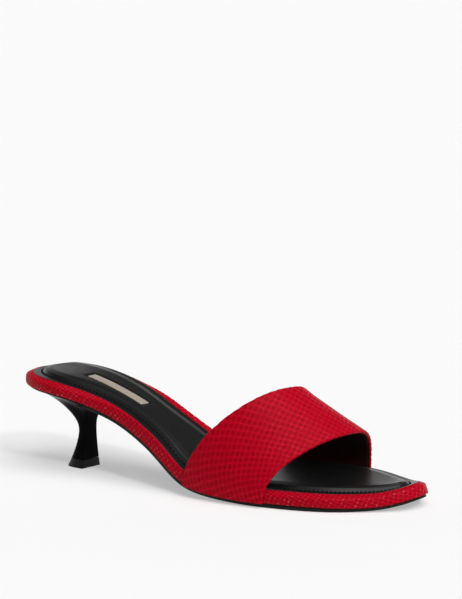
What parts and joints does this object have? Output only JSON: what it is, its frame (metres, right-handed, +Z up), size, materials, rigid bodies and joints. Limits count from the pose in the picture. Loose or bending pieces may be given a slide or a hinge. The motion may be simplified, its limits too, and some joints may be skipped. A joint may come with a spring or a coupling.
{
  "type": "thin heel sandal",
  "caption": "Right slide mule with one wide embossed strap, a wrapped footbed with a padded insole and a flared kitten heel.",
  "frame": {"origin": "on the floor, inside the foot of the heel, 36 mm in front of the back of the shoe", "axes": "+X from the heel to the toe, +Y to the inner side of the foot, +Z up"},
  "size_m": [0.2447, 0.0852, 0.0566],
  "materials": {
    "red_leather": "satin snake-embossed",
    "black_leather": "satin",
    "black_sole": "matte",
    "gloss_heel": "gloss",
    "heel_rubber": "matte",
    "pale_plate": "metallic foil"
  },
  "bodies": {
    "root": {"outsole": "black_sole", "footbed": "red_leather", "insole": "black_leather", "strap": "red_leather", "heel": "gloss_heel", "top_lift": "heel_rubber", "label_plate": "pale_plate"}
  },
  "joints": []
}
